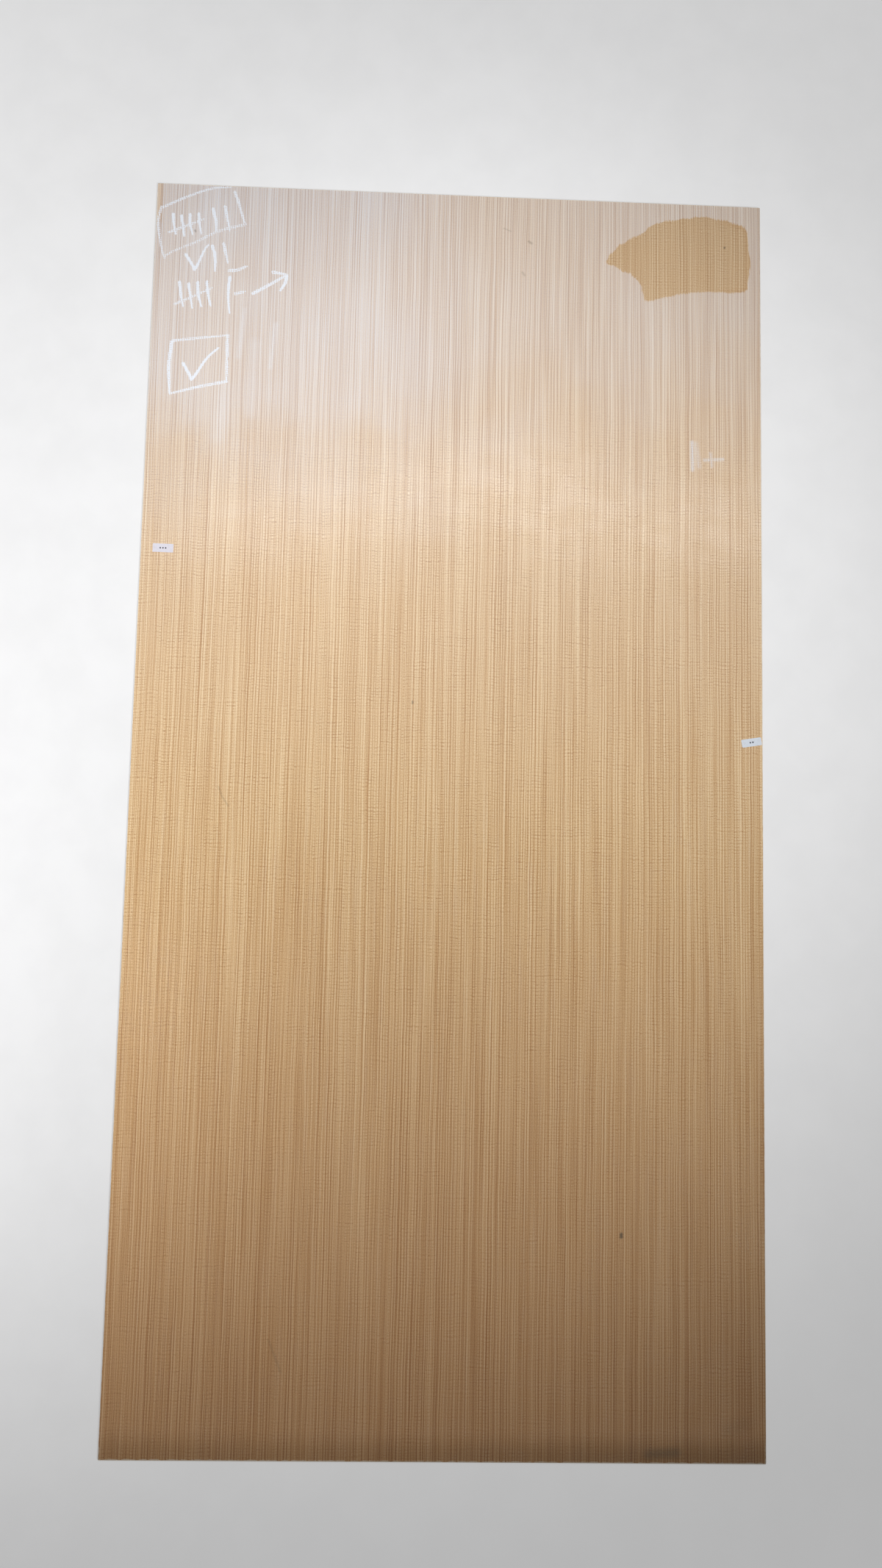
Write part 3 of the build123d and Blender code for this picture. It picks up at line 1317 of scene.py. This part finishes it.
def floor_material():
    material, draw, shader, place = new_material("pale_floor")
    away = draw.get("VectorMath", place, output="Value", operation="LENGTH")
    far = away.rise(FADE_START, FADE_END)
    mottled = draw.noise(place, 90, 90, 91, 4.0).rise(0.2, 0.8, 0.97, 1.03)
    path = draw.named(draw.node("LightPath").outputs)
    seen = path["Is Camera Ray"].at_least(path["Is Glossy Ray"])
    mottled = (1.0, draw.grey(mottled), "MULTIPLY")
    draw.give(
        shader,
        Base_Color=draw.coats(FLOOR_COLOUR, mottled, (far, colour(0.0, 0.0, 0.0))),
        Roughness=0.9,
        Specular_IOR_Level=0.1,
        Emission_Color=colour(1.0, 1.0, 1.0),
        Emission_Strength=seen * draw.blend(far, FLOOR_GLOW, 1.0),
    )

    under = draw.get("NewGeometry", output="Backfacing")
    passed = path["Is Shadow Ray"].at_least(path["Is Diffuse Ray"])
    solid = Value(draw, draw.tree.nodes["Principled BSDF"].outputs[0])
    clear = draw.get("BsdfTransparent")
    both = draw.get("MixShader", under.at_least(passed), solid, clear)
    draw.give(draw.tree.nodes["Material Output"].inputs, Surface=both)
    return material


floor_mesh = bpy.data.meshes.new("floor")
reach = FLOOR_SIZE / 2
floor_corners = [(-reach, -reach, 0), (reach, -reach, 0), (reach, reach, 0), (-reach, reach, 0)]
floor_mesh.from_pydata(floor_corners, [], [(0, 1, 2, 3)])
floor_mesh.materials.append(floor_material())
floor = put("floor", floor_mesh)
floor.location.z = -FLOOR_DROP
print("floor, metres:", FLOOR_SIZE)

# %% [markdown]
# ## The light
#
# Softboxes make the sheen: their mirror images fall on the face about a quarter of the way
# down, where the gloss of the wood shows as a soft bright band. To find a softbox's place,
# follow a ray from the camera to the middle of its mirror image and reflect it: the softbox
# hangs where the reflected ray goes.
#
# Three shaded lamps with wide soft rims do most of the lighting, brighter at the top end
# than at the bottom. They make no mirror images, because more bright spots in the gloss
# would only confuse. The world adds an even fill. To the camera it is plain white.
#
# A sheet that lies down shades its own back. So one more softbox shines up from under the
# floor, where it can't reach anything but the back.

# %% Hang the softboxes where their reflections fall on the face
SOFTBOX_HEIGHT = 3.2
# where the mirror image lies, in mm from the left edge and the top end, then size, watts, turn
SOFTBOXES = {
    "long_softbox": ((430, 645), (1.70, 0.30), 7.0, 11),
    "right_softbox": ((1000, 665), (1.30, 0.30), 5.6, 0),
    "small_softbox": ((705, 600), (0.75, 0.24), 3.6, 6),
}


def new_lamp(name, kind, watts):
    """A lamp in the scene, and its light."""
    light = bpy.data.lights.new(name, kind)
    light.energy = watts
    return put(name, light), light


for name, (shown_at, size, watts, turn) in SOFTBOXES.items():
    lamp, light = new_lamp(name, "AREA", watts)
    light.shape = "RECTANGLE"
    light.size, light.size_y = size
    x, y = from_corner([shown_at])[0] * MM
    shown = Vector((x, y, sheet_high.z))
    bounce = shown - CAMERA_PLACE
    bounce.z = -bounce.z
    lamp.location = shown + bounce * ((SOFTBOX_HEIGHT - shown.z) / bounce.z)
    lamp.rotation_euler.z = math.radians(turn)
    print(name, "hangs at", [round(v, 2) for v in lamp.location])

# %% Hang the three shaded lamps
SHADED_RADIUS = 0.3
# where each lamp hangs, where it points, how wide it opens in degrees, and its watts
SHADED = {
    "left_lamp": ((-1.30, -0.61, 2.90), (-1.90, 0.31, 0.0), 80.0, 276.0),
    "right_lamp": ((1.41, -1.33, 2.66), (-1.15, 1.37, 0.0), 86.0, 268.0),
    "far_lamp": ((-1.30, 2.90, 3.87), (0.15, 0.63, 0.0), 22.9, 345.0),
}
for name, (place, aim, cone, watts) in SHADED.items():
    lamp, light = new_lamp(name, "SPOT", watts)
    light.spot_size = math.radians(cone)
    light.spot_blend = 1.0
    light.shadow_soft_size = SHADED_RADIUS
    lamp.matrix_world = aimed(Vector(place), Vector(aim) - Vector(place), Vector((0, 1, 0)))
    lamp.visible_glossy = False
    print(name, "opens", cone, "degrees")

# %% Hang a softbox under the floor, for the back
UNDER_DEPTH = 3.0
UNDER_SIZE = 2.5
UNDER_WATTS = 45.0
lamp, light = new_lamp("under_softbox", "AREA", UNDER_WATTS)
light.size = UNDER_SIZE
lamp.location.z = -UNDER_DEPTH
lamp.rotation_euler.x = math.pi
lamp.visible_camera = False
print("under_softbox, watts:", UNDER_WATTS)

# %% The world around it
FILL = 0.14
MIRRORED = 0.25  # how bright the world is in a mirror

world = bpy.data.worlds.new("white_studio")
world.use_nodes = True
sky = Drawing(world.node_tree)
path = sky.named(sky.node("LightPath").outputs)
glossy = path["Is Glossy Ray"].at_least(path["Is Transmission Ray"])
strength = sky.blend(path["Is Camera Ray"], sky.blend(glossy, FILL, MIRRORED), 1.0)
sky.node("OutputWorld", sky.get("Background", colour(1.0, 1.0, 1.0), strength))
bpy.context.scene.world = world
bpy.context.scene.view_settings.view_transform = "Standard"
print("fill:", FILL)

# %% [markdown]
